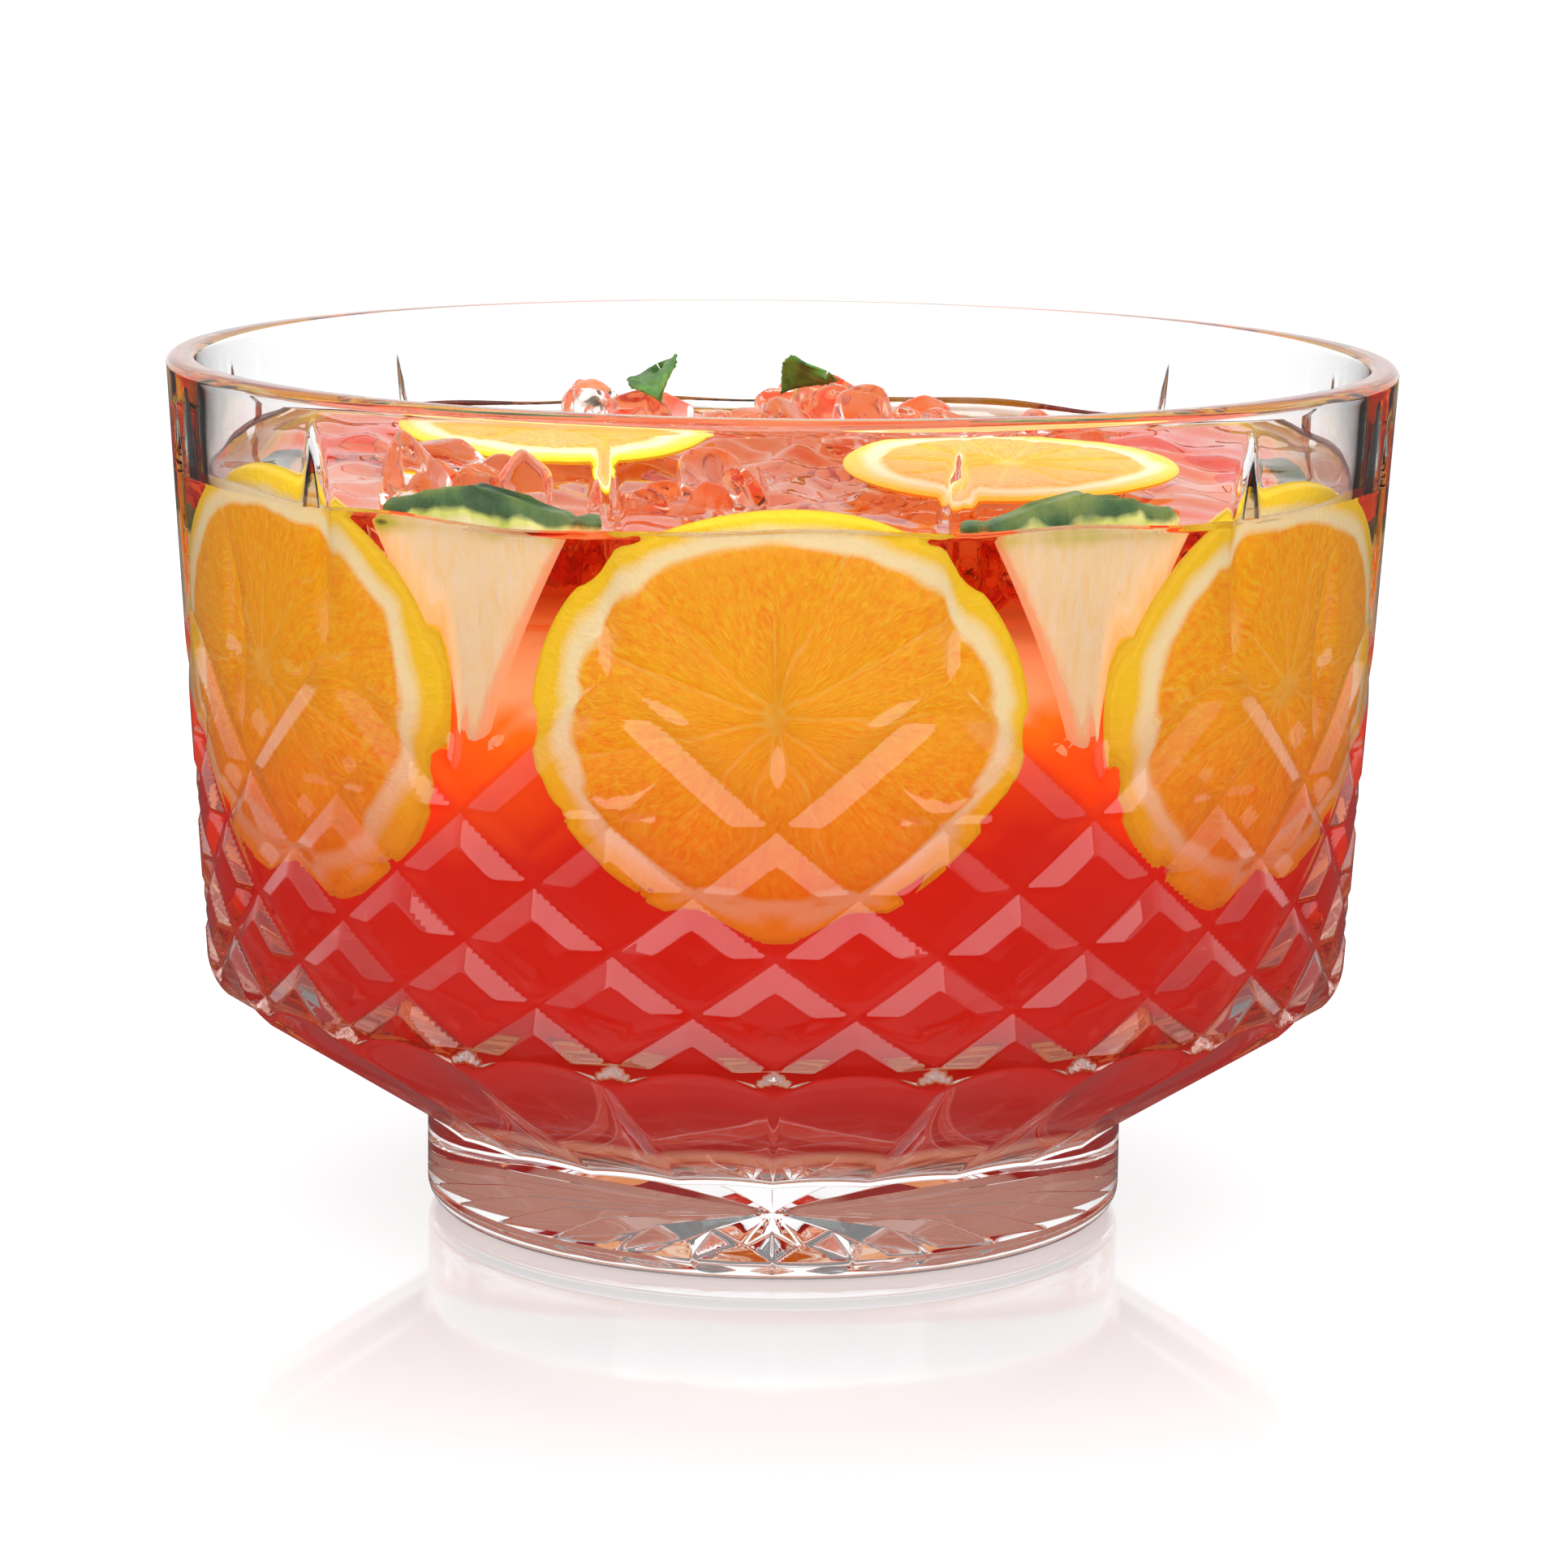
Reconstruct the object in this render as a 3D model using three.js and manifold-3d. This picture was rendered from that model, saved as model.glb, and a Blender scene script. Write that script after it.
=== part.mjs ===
// Cut-glass punch bowl on a foot, filled with punch, orange slices, pineapple wedges and ice.
// Millimetres, +Z up. The origin is the centre of the foot's underside and the front faces -Y.
import * as THREE from "three";
import { ConvexGeometry } from "three/addons/geometries/ConvexGeometry.js";
import { mergeVertices } from "three/addons/utils/BufferGeometryUtils.js";
import Module from "manifold-3d";

const wasm = await Module();
wasm.setup();

// Glass body
const SIDES = 48; // facets round the lathe, two to each column of the cut pattern
const COLUMN = THREE.MathUtils.degToRad(7.5);
const HEIGHT = 176;
const RIM_RADIUS = 124.8;
const DRUM_BASE_RADIUS = 117.3; // outer radius at the bottom of the drum
const DRUM_BASE_Z = 53;
const FOOT_RADIUS = 72;
const FOOT_TOP_Z = 20;
const CONE_SLOPE = 0.64; // rise over run of the underside between foot and drum
const INNER_MOUTH_RADIUS = 118.7;
const INNER_BASE_RADIUS = 109.8;
const INNER_BASE_Z = 68;
const FLOOR_Z = 27;
const RECESS_DEPTH = 2.2; // hollow under the foot, inside the ring it stands on

// Cut pattern
const LATTICE_TOP_Z = 99.9; // first row of crossings shared by all 24 columns
const LATTICE_PITCH = 13.4; // drop to the next row, which shrinks by twice the easing each time
const LATTICE_EASING = 0.45;
const LATTICE_LAST_ROW = 4;
const GROOVE_DEPTH = 1.7;
const GROOVE_FLANK = 2.4; // half width over depth
const TALL_FLUTE = { count: 12, offset: 2, bottom: 126, top: 170, depth: 2.2, flank: 2.05 };
const SHORT_LEAF = { count: 12, offset: 0, bottom: 106, top: 146.5, depth: 2.2, flank: 2.1 };
const PETALS = 24;
const PETAL_DEPTH = 2.3;
const RAYS = 24;
const RAY_DEPTH = 2.8;
const RAY_FLANK = 1.6;

// Contents
const PUNCH_LEVEL = 153;
const GAP = 0.3; // kept between neighbouring pieces
const SLICE = { halfWidth: 46.5, halfHeight: 41, thickness: 5, height: 118.5 };
const WEDGE = { halfWidth: 24, tipHalfWidth: 4, bottom: 111.5, top: 157, thickness: 8 };
const SLICE_ANGLES = [0, 57, 120, 180, 240, 303]; // degrees from the front
const WEDGE_ANGLES = [32, 88, 150, 210, 272, 328];
const REAR_SLICE_SINK = 7; // the fruit behind the middle has sunk deeper
const REAR_WEDGE_SINK = 12;
const SLICE_WALL_GAP = 0.8;
const WEDGE_WALL_GAP = SLICE_WALL_GAP + SLICE.thickness + 1.4;
const FLOATING = [
  { name: "floating_slice_1", angle: -88, radius: 46, z: 157.5, tilt: 4, turn: 20 },
  { name: "floating_slice_2", angle: 44, radius: 64, z: 157.8, tilt: -5, turn: 160 },
];
const FLOATING_RADIUS = 34;
const FLOATING_THICKNESS = 3;
const ICE_COUNT = 19;
const ICE_SPACING = 19.5;
const ICE_SIZE = 15.4;
const ICE_Z = 153.5;
const MINT = [{ x: -25, y: 20 }, { x: 4, y: 24 }];
const MINT_Z = 164;
const SUNKEN_ICE_Z = 144; // of the lumps pushed under by a floating slice

const glass = { color: 0xf4f6f6, roughness: 0.03, metalness: 0, transparent: true, opacity: 0.45 };
const liquid = { color: 0xd8301c, roughness: 0.05, metalness: 0 };
const orange = { color: 0xff9e1a, roughness: 0.4, metalness: 0 };
const pineapple = { color: 0xf8e2a8, roughness: 0.5, metalness: 0 };
const ice = { color: 0xf6dcd6, roughness: 0.15, metalness: 0 };
const mint = { color: 0x4c7a2c, roughness: 0.6, metalness: 0 };

// Numbers in [0, 1) from a fixed start, for the uneven shapes of ice and leaves.
function randomFrom(seed) {
  let state = seed;
  return () => {
    state = (state * 16807) % 2147483647;
    return state / 2147483647;
  };
}

function toSolid(geometry) {
  const bare = new THREE.BufferGeometry().setAttribute("position", geometry.getAttribute("position"));
  if (geometry.index) {
    bare.setIndex(geometry.index);
  }
  const merged = mergeVertices(bare, 1e-4);
  const corners = merged.index.array;
  const kept = [];
  for (let i = 0; i < corners.length; i += 3) {
    const [a, b, c] = [corners[i], corners[i + 1], corners[i + 2]];
    if (a !== b && b !== c && c !== a) {
      kept.push(a, b, c);
    }
  }
  const data = { numProp: 3, vertProperties: merged.attributes.position.array };
  const made = new wasm.Manifold(new wasm.Mesh({ ...data, triVerts: new Uint32Array(kept) }));
  if (made.volume() >= 0) {
    return made;
  }
  for (let i = 0; i < kept.length; i += 3) {
    [kept[i + 1], kept[i + 2]] = [kept[i + 2], kept[i + 1]];
  }
  return new wasm.Manifold(new wasm.Mesh({ ...data, triVerts: new Uint32Array(kept) }));
}

function toMesh(name, solid, look) {
  const data = solid.getMesh();
  const geometry = new THREE.BufferGeometry();
  geometry.setAttribute("position", new THREE.BufferAttribute(data.vertProperties, 3));
  geometry.setIndex(new THREE.BufferAttribute(data.triVerts, 1));
  const flat = geometry.toNonIndexed();
  flat.computeVertexNormals();
  const mesh = new THREE.Mesh(flat, new THREE.MeshStandardMaterial(look));
  mesh.name = name;
  return mesh;
}

// A solid of revolution about Z from [radius, z] pairs.
function lathe(profile) {
  const points = profile.map(([r, z]) => new THREE.Vector2(r, z));
  return toSolid(new THREE.LatheGeometry(points, SIDES).rotateX(Math.PI / 2));
}

// A solid through equal rings of points, closed at both ends.
function loft(rings) {
  const size = rings[0].length;
  const last = (rings.length - 1) * size;
  const index = [];
  for (let r = 0; r < rings.length - 1; r++) {
    for (let i = 0; i < size; i++) {
      const a = r * size + i;
      const b = r * size + ((i + 1) % size);
      index.push(a, b, b + size, a, b + size, a + size);
    }
  }
  for (let i = 1; i < size - 1; i++) {
    index.push(0, i + 1, i);
    index.push(last, last + i, last + i + 1);
  }
  const geometry = new THREE.BufferGeometry().setFromPoints(rings.flat());
  geometry.setIndex(index);
  return toSolid(geometry);
}

// The unit vector that points out of the bowl at an angle from the front, and the one along the wall.
function outward(angle) {
  return new THREE.Vector3(Math.sin(angle), -Math.cos(angle), 0);
}

function alongWall(angle) {
  return new THREE.Vector3(Math.cos(angle), Math.sin(angle), 0);
}

function drumRadius(z) {
  const share = (z - DRUM_BASE_Z) / (HEIGHT - DRUM_BASE_Z);
  return DRUM_BASE_RADIUS + share * (RIM_RADIUS - DRUM_BASE_RADIUS);
}

function innerRadius(z) {
  const share = (z - INNER_BASE_Z) / (HEIGHT - INNER_BASE_Z);
  return INNER_BASE_RADIUS + share * (INNER_MOUTH_RADIUS - INNER_BASE_RADIUS);
}

function wallPoint(angle, z, radius) {
  return outward(angle).multiplyScalar(radius).setZ(z);
}

// Section of a V-wheel cut: its keel lies `depth` under the surface and it opens outwards.
function wedgeSection(angle, z, depth, flank, side) {
  const lift = 1.2;
  const radius = drumRadius(z);
  const half = flank * (depth + lift);
  const top = wallPoint(angle, z, radius + lift);
  return [
    wallPoint(angle, z, radius - depth),
    top.clone().addScaledVector(side, half),
    top.clone().addScaledVector(side, -half),
  ];
}

// An upright leaf-shaped cut, deepest half way up.
function leafCut(leaf, angle) {
  const rings = [];
  const steps = 6;
  for (let i = 0; i <= steps; i++) {
    const t = (i / steps) * 2.16 - 1.08;
    const z = THREE.MathUtils.lerp(leaf.bottom, leaf.top, (t + 1) / 2);
    rings.push(wedgeSection(angle, z, leaf.depth * (1 - t * t), leaf.flank, alongWall(angle)));
  }
  return loft(rings);
}

function rowHeight(row) {
  return LATTICE_TOP_Z - row * (LATTICE_PITCH - LATTICE_EASING * row);
}

// One slanting groove of the diamond lattice, from its first row down past the last.
function latticeGroove(column, direction) {
  const first = column % 4 === 0 ? -2 : -0.75;
  const rows = column % 4 === 0 ? [-2, -1] : [-0.75];
  for (let row = 0; row <= LATTICE_LAST_ROW; row++) {
    rows.push(row);
  }
  rows.push(LATTICE_LAST_ROW + 0.42);
  const rings = rows.map((row) => {
    const angle = (column - direction * row) * COLUMN;
    const z = rowHeight(row);
    const drop = rowHeight(row - 0.5) - rowHeight(row + 0.5);
    const run = drumRadius(z) * COLUMN * direction;
    const side = alongWall(angle).multiplyScalar(drop).setZ(-run).normalize();
    const ending = row === first ? -0.1 : row > LATTICE_LAST_ROW ? -0.5 : GROOVE_DEPTH;
    return wedgeSection(angle, z, ending, GROOVE_FLANK, side);
  });
  return loft(rings);
}

// One hollow petal of the cone, wider and deeper towards the drum.
function petalCut(index) {
  const centre = (2 * index + 1) * COLUMN;
  const spread = [-1.04, -0.5, 0, 0.5, 1.04];
  const rings = [FOOT_RADIUS - 0.02, 105, 122].map((radius) => {
    const deepest = THREE.MathUtils.mapLinear(radius, FOOT_RADIUS, 105, 0.5, PETAL_DEPTH);
    const at = (share, depth) => {
      const z = FOOT_TOP_Z + (radius - FOOT_RADIUS) * CONE_SLOPE;
      return wallPoint(centre + share * COLUMN, z + depth * 1.19, radius);
    };
    const hollow = spread.map((s) => at(s, 0.4 + deepest * (1 - s * s)));
    return [...hollow, at(1.04, -9), at(-1.04, -9)];
  });
  return loft(rings);
}

// One ray of the star under the foot, deepest at two thirds of its way out.
function rayCut(index) {
  const angle = (index * 2 * Math.PI) / RAYS;
  const across = alongWall(angle);
  const keel = [[7, 0.5], [38, RAY_DEPTH], [57.5, -0.2]];
  const rings = keel.map(([radius, depth]) => {
    const half = RAY_FLANK * (depth + 1);
    const base = outward(angle).multiplyScalar(radius);
    return [
      base.clone().setZ(RECESS_DEPTH + depth),
      base.clone().addScaledVector(across, half).setZ(RECESS_DEPTH - 1),
      base.clone().addScaledVector(across, -half).setZ(RECESS_DEPTH - 1),
    ];
  });
  return loft(rings);
}

function glassBowl() {
  const coneTop = FOOT_TOP_Z + (110 - FOOT_RADIUS) * CONE_SLOPE;
  const body = lathe([
    [0, RECESS_DEPTH],
    [56, RECESS_DEPTH],
    [58.5, 0],
    [67, 0],
    [70.6, 1.4],
    [FOOT_RADIUS, 4.4],
    [FOOT_RADIUS, FOOT_TOP_Z],
    [110, coneTop],
    [113.8, 46.8],
    [116.3, 49.6],
    [DRUM_BASE_RADIUS, DRUM_BASE_Z],
    [drumRadius(HEIGHT - 2), HEIGHT - 2],
    [RIM_RADIUS - 1.8, HEIGHT],
    [INNER_MOUTH_RADIUS + 1.6, HEIGHT],
    [INNER_MOUTH_RADIUS, HEIGHT - 1.8],
    [INNER_BASE_RADIUS, INNER_BASE_Z],
    [108.2, 60],
    [104, 51.5],
    [97, 45],
    [85, 37.6],
    [70, 31.3],
    [45, FLOOR_Z + 0.6],
    [0, FLOOR_Z],
  ]);
  const cuts = [];
  for (const leaf of [TALL_FLUTE, SHORT_LEAF]) {
    for (let i = 0; i < leaf.count; i++) {
      cuts.push(leafCut(leaf, (leaf.offset + 4 * i) * COLUMN));
    }
  }
  for (let column = 0; column < SIDES; column += 2) {
    cuts.push(latticeGroove(column, 1), latticeGroove(column, -1));
  }
  for (let i = 0; i < PETALS; i++) {
    cuts.push(petalCut(i));
  }
  for (let i = 0; i < RAYS; i++) {
    cuts.push(rayCut(i));
  }
  return cuts.reduce((left, cut) => left.subtract(cut), body);
}

// A shell that follows the inside of the wall between two heights.
function wallBand(gap, thickness, bottom, top) {
  return lathe([
    [innerRadius(bottom) - gap, bottom],
    [innerRadius(top) - gap, top],
    [innerRadius(top) - gap - thickness, top],
    [innerRadius(bottom) - gap - thickness, bottom],
    [innerRadius(bottom) - gap, bottom],
  ]);
}

// A block that runs outwards from near the axis, with an outline seen from outside the bowl.
function radialBlock(outline, angle, sink) {
  const shape = new THREE.Shape(outline);
  const geometry = new THREE.ExtrudeGeometry(shape, { depth: 60, bevelEnabled: false, curveSegments: 8 });
  geometry.rotateX(Math.PI / 2).translate(0, -70, -sink).rotateZ(angle);
  return toSolid(geometry);
}

// The outline of a slice, or of the slice with a way up out of the punch when it is opened.
function ellipseOutline(halfWidth, halfHeight, height, opened) {
  const outline = [];
  const steps = 32;
  for (let i = opened ? steps / 2 : 0; i <= (opened ? steps : steps - 1); i++) {
    const a = (i / steps) * 2 * Math.PI;
    outline.push(new THREE.Vector2(halfWidth * Math.cos(a), height + halfHeight * Math.sin(a)));
  }
  if (opened) {
    outline.push(new THREE.Vector2(halfWidth, 190), new THREE.Vector2(-halfWidth, 190));
  }
  return outline;
}

function wedgeOutline(grow, opened) {
  const side = WEDGE.halfWidth + grow;
  const tip = WEDGE.tipHalfWidth + grow;
  const crown = opened
    ? [[side, 190], [-side, 190]]
    : [[side, WEDGE.top - 4], [side * 0.55, WEDGE.top - 1], [0, WEDGE.top],
      [-side * 0.55, WEDGE.top - 1], [-side, WEDGE.top - 4]];
  const corners = opened
    ? [[-side, WEDGE.bottom - grow], [side, WEDGE.bottom - grow], ...crown]
    : [[-tip, WEDGE.bottom], [tip, WEDGE.bottom], ...crown];
  return corners.map(([x, z]) => new THREE.Vector2(x, z));
}

function sinkAt(angle, depth) {
  return Math.cos(angle) < 0.1 ? depth : 0;
}

function orangeSlice(angle) {
  const band = wallBand(SLICE_WALL_GAP, SLICE.thickness, 70, 170);
  const outline = ellipseOutline(SLICE.halfWidth, SLICE.halfHeight, SLICE.height, false);
  return band.intersect(radialBlock(outline, angle, sinkAt(angle, REAR_SLICE_SINK)));
}

function pineappleWedge(angle) {
  const band = wallBand(WEDGE_WALL_GAP, WEDGE.thickness, 70, 170);
  return band.intersect(radialBlock(wedgeOutline(0, false), angle, sinkAt(angle, REAR_WEDGE_SINK)));
}

// The room that a slice or a wedge needs in the punch, open to the wall and to the surface.
function slicePocket(angle) {
  const band = wallBand(-1, SLICE.thickness + SLICE_WALL_GAP + 1 + GAP, 70, 170);
  const outline = ellipseOutline(SLICE.halfWidth + GAP, SLICE.halfHeight + GAP, SLICE.height, true);
  return band.intersect(radialBlock(outline, angle, sinkAt(angle, REAR_SLICE_SINK)));
}

function wedgePocket(angle) {
  const band = wallBand(-1, WEDGE_WALL_GAP + WEDGE.thickness + 1 + GAP, 70, 170);
  return band.intersect(radialBlock(wedgeOutline(GAP, true), angle, sinkAt(angle, REAR_WEDGE_SINK)));
}

function isUnderSlice(turn, reach) {
  const lump = wallPoint(turn, 0, reach);
  return FLOATING.some((slice) => {
    const middle = wallPoint(THREE.MathUtils.degToRad(slice.angle), 0, slice.radius);
    return middle.distanceTo(lump) < FLOATING_RADIUS + ICE_SIZE;
  });
}

// The corners of one lump of ice, swelled by `grow` and repeated `rise` higher when a path is wanted.
function icePoints(index, grow, rise) {
  const random = randomFrom(911 + 37 * index);
  const turn = index * 2.39996;
  const reach = ICE_SPACING * Math.sqrt(index + 0.5);
  const height = isUnderSlice(turn, reach) ? SUNKEN_ICE_Z : ICE_Z;
  const centre = wallPoint(turn, height + 3 * (random() - 0.5), reach);
  const points = [];
  const corners = new THREE.IcosahedronGeometry(1, 0).attributes.position;
  const seen = new Map();
  for (let i = 0; i < corners.count; i++) {
    const p = new THREE.Vector3().fromBufferAttribute(corners, i);
    const key = p.toArray().map((c) => c.toFixed(3)).join();
    if (!seen.has(key)) {
      seen.set(key, ICE_SIZE * (0.78 + 0.22 * random()));
      p.multiply(new THREE.Vector3(1, 1, 0.68)).multiplyScalar(seen.get(key) + grow).add(centre);
      points.push(p);
    }
  }
  if (rise > 0) {
    points.push(...points.map((p) => p.clone().setZ(p.z + rise)));
  }
  return points;
}

function floatingSlice(slice) {
  const geometry = new THREE.CylinderGeometry(FLOATING_RADIUS, FLOATING_RADIUS, FLOATING_THICKNESS, 28);
  geometry.rotateX(Math.PI / 2 + THREE.MathUtils.degToRad(slice.tilt));
  geometry.rotateZ(THREE.MathUtils.degToRad(slice.turn));
  const at = wallPoint(THREE.MathUtils.degToRad(slice.angle), slice.z, slice.radius);
  return toSolid(geometry.translate(at.x, at.y, at.z));
}

function mintLeaf(index, place) {
  const random = randomFrom(47 + 13 * index);
  const shape = new THREE.Shape();
  shape.moveTo(-7, 0);
  shape.quadraticCurveTo(0, 6, 7, 0);
  shape.quadraticCurveTo(0, -6, -7, 0);
  const geometry = new THREE.ExtrudeGeometry(shape, { depth: 0.8, bevelEnabled: false, curveSegments: 5 });
  geometry.rotateX(0.3 * (random() - 0.5)).rotateZ(6.28 * random());
  return toSolid(geometry.translate(place.x, place.y, MINT_Z));
}

function punch(pockets) {
  const body = lathe([
    [0, FLOOR_Z + GAP],
    [45, FLOOR_Z + 0.6 + GAP],
    [70 - 0.1, 31.3 + GAP],
    [85 - 0.2, 37.6 + GAP],
    [97 - 0.3, 45 + GAP],
    [104 - 0.35, 51.5 + GAP],
    [108.2 - 0.4, 60 + GAP],
    [INNER_BASE_RADIUS - 0.4, INNER_BASE_Z],
    [innerRadius(PUNCH_LEVEL) - 0.4, PUNCH_LEVEL],
    [0, PUNCH_LEVEL],
  ]);
  return pockets.reduce((left, pocket) => left.subtract(pocket), body);
}

const bowl = new THREE.Group();
bowl.add(toMesh("glass_bowl", glassBowl(), glass));

const pockets = [];
for (let i = 0; i < SLICE_ANGLES.length; i++) {
  const sliceAngle = THREE.MathUtils.degToRad(SLICE_ANGLES[i]);
  const wedgeAngle = THREE.MathUtils.degToRad(WEDGE_ANGLES[i]);
  bowl.add(toMesh("orange_slice_" + (i + 1), orangeSlice(sliceAngle), orange));
  bowl.add(toMesh("pineapple_wedge_" + (i + 1), pineappleWedge(wedgeAngle), pineapple));
  pockets.push(slicePocket(sliceAngle), wedgePocket(wedgeAngle));
}

for (let i = 0; i < ICE_COUNT; i++) {
  const name = "ice_lump_" + String(i + 1).padStart(2, "0");
  bowl.add(toMesh(name, toSolid(new ConvexGeometry(icePoints(i, 0, 0))), ice));
  pockets.push(toSolid(new ConvexGeometry(icePoints(i, GAP * 1.4, 40))));
}

bowl.add(toMesh("punch", punch(pockets), liquid));
for (const slice of FLOATING) {
  bowl.add(toMesh(slice.name, floatingSlice(slice), orange));
}
MINT.forEach((place, i) => {
  bowl.add(toMesh("mint_leaf_" + (i + 1), mintLeaf(i, place), mint));
});

export default bowl;
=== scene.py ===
"""Looks for a footed cut-glass punch bowl filled with punch, fruit and ice.

Sizes are in millimetres until a mesh is made, and angles are counted from the bowl's front.
"""

import math

import bmesh
import bpy
import numpy as np
from mathutils import Euler, Matrix, Vector


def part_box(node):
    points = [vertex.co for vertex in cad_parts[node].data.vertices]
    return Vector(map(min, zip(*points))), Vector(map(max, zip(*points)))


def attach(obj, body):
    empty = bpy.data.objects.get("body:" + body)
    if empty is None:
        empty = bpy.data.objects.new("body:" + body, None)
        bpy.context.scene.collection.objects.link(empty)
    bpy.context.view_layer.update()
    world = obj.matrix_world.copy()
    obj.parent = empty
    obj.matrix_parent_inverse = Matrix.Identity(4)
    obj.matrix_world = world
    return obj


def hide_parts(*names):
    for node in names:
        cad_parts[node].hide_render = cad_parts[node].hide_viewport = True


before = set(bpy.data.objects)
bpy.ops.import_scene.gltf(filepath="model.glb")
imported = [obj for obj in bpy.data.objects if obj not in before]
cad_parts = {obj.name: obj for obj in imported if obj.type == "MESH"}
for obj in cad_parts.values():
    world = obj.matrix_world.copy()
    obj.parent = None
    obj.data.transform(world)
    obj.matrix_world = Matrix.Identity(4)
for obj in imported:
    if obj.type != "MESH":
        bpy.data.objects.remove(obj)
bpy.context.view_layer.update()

MM = 0.001
COLUMN = math.radians(7.5)  # half the spacing of the cut pattern
CELLS = 12  # mesh steps to a column of the pattern

# Bowl
HEIGHT = 176.0
RIM_RADIUS = 124.8
DRUM_BASE_RADIUS = 117.3
DRUM_BASE_Z = 53.0
FOOT_RADIUS = 72.0
FOOT_TOP_Z = 20.0
CONE_SLOPE = 0.64
INNER_MOUTH_RADIUS = 118.7
INNER_BASE_RADIUS = 109.8
INNER_BASE_Z = 68.0
FLOOR_Z = 27.0
RECESS_DEPTH = 2.2
SHOULDER_DROP = 8.7
SHOULDER_TUCK = 7.3

# Cut pattern
LATTICE_TOP_Z = 99.9
LATTICE_PITCH = 13.4
LATTICE_EASING = 0.45
LATTICE_ROWS = 4
GROOVE_DEPTH = 1.7
GROOVE_REACH = 0.5  # half width of a groove, in columns
TALL_FLUTE = dict(column=2, bottom=126.0, top=170.0, depth=2.2, flank=2.05)
SHORT_LEAF = dict(column=0, bottom=106.0, top=146.5, depth=2.2, flank=2.1)
PETAL_DEPTH = 2.3
RAY_DEPTH = 2.8
RAY_FLANK = 1.6

# Contents
PUNCH_LEVEL = 153.0
SLICE_HALF_WIDTH = 46.5
WEDGE_HALF_WIDTH = 24.0
WEDGE_TIP_HALF_WIDTH = 1.5
WEDGE_WALL_GAP = 7.2
FLOATING = {
    "floating_slice_1": (2, 20),
    "floating_slice_2": (-2, 160),
}

rng = np.random.default_rng(20)


# ---------------------------------------------------------------- meshes


def make_object(name, points, faces, material, smooth=True):
    """A mesh object from points in millimetres, with its faces turned outwards."""
    mesh = bpy.data.meshes.new(name)
    points = np.asarray(points, dtype=np.float64).reshape(-1, 3) * MM
    mesh.from_pydata(points.tolist(), [], [list(map(int, f)) for f in faces])
    mesh.update()
    build = bmesh.new()
    build.from_mesh(mesh)
    bmesh.ops.recalc_face_normals(build, faces=build.faces)
    build.to_mesh(mesh)
    build.free()
    if smooth:
        mesh.polygons.foreach_set("use_smooth", np.ones(len(mesh.polygons), dtype=bool))
    mesh.materials.append(material)
    made = bpy.data.objects.new(name, mesh)
    bpy.context.scene.collection.objects.link(made)
    return made


def store(piece, name, values):
    """Keeps one number per vertex for the material to read."""
    layer = piece.data.attributes.new(name, "FLOAT", "POINT")
    layer.data.foreach_set("value", np.asarray(values, dtype=np.float32).ravel())


def ring_faces(rows, columns, start_pole=None, end_pole=None, flip=None):
    """Faces of a tube of rings, with a fan to a pole at either end."""
    faces = []
    for r in range(rows - 1):
        for c in range(columns):
            n = (c + 1) % columns
            a, b = r * columns + c, r * columns + n
            d, e = (r + 1) * columns + c, (r + 1) * columns + n
            if flip is None:
                faces.append((a, b, e, d))
            elif flip[r, c]:
                faces += [(a, b, d), (b, e, d)]
            else:
                faces += [(a, b, e), (a, e, d)]
    if start_pole is not None:
        faces += [(start_pole, (c + 1) % columns, c) for c in range(columns)]
    if end_pole is not None:
        last = (rows - 1) * columns
        faces += [(end_pole, last + c, last + (c + 1) % columns) for c in range(columns)]
    return faces


def arc(centre, radius, start, end, steps):
    """Points on an arc of a profile, from one angle in degrees to another."""
    angles = np.radians(np.linspace(start, end, steps))
    return [(centre[0] + radius * math.cos(a), centre[1] + radius * math.sin(a)) for a in angles]


# ---------------------------------------------------------------- glass


def drum_radius(z):
    return DRUM_BASE_RADIUS + (z - DRUM_BASE_Z) / (HEIGHT - DRUM_BASE_Z) * (
        RIM_RADIUS - DRUM_BASE_RADIUS
    )


def body_radius(z):
    """Outside of the drum, tucked in at the shoulder below it."""
    below = np.clip((DRUM_BASE_Z - z) / SHOULDER_DROP, 0, None)
    return drum_radius(z) - SHOULDER_TUCK * below**2.2


def inner_radius(z):
    return INNER_BASE_RADIUS + (z - INNER_BASE_Z) / (HEIGHT - INNER_BASE_Z) * (
        INNER_MOUTH_RADIUS - INNER_BASE_RADIUS
    )


def row_height(row):
    return LATTICE_TOP_Z - row * (LATTICE_PITCH - LATTICE_EASING * row)


def row_at(z):
    """The lattice row at a height, the inverse of row_height."""
    inside = LATTICE_PITCH**2 - 4 * LATTICE_EASING * (LATTICE_TOP_Z - z)
    return (LATTICE_PITCH - np.sqrt(np.maximum(inside, 0))) / (2 * LATTICE_EASING)


def groove_depth(column, row):
    """Depth of the two families of slanting V grooves."""
    deepest = np.zeros(np.broadcast(column, row).shape)
    for direction in (1, -1):
        along = column + direction * row
        line = 2 * np.round(along / 2)
        start = np.where(np.mod(line, 4) == 0, -2.0, -0.75)
        opening = np.clip((row - start) / 0.6, 0, 1)
        closing = np.clip(1 - (row - LATTICE_ROWS) / 0.45, -1, 1)
        depth = np.minimum(opening, closing) - np.abs(along - line) / GROOVE_REACH
        deepest = np.maximum(deepest, depth * GROOVE_DEPTH)
    return deepest


def leaf_depth(leaf, column, z):
    """Depth of a ring of twelve upright leaf-shaped V cuts."""
    middle = (leaf["bottom"] + leaf["top"]) / 2
    t = (z - middle) / ((leaf["top"] - leaf["bottom"]) / 2)
    offset = np.mod(column - leaf["column"] + 2, 4) - 2
    aside = np.abs(offset) * COLUMN * drum_radius(z)
    return leaf["depth"] * (1 - t * t) - aside / leaf["flank"]


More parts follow.
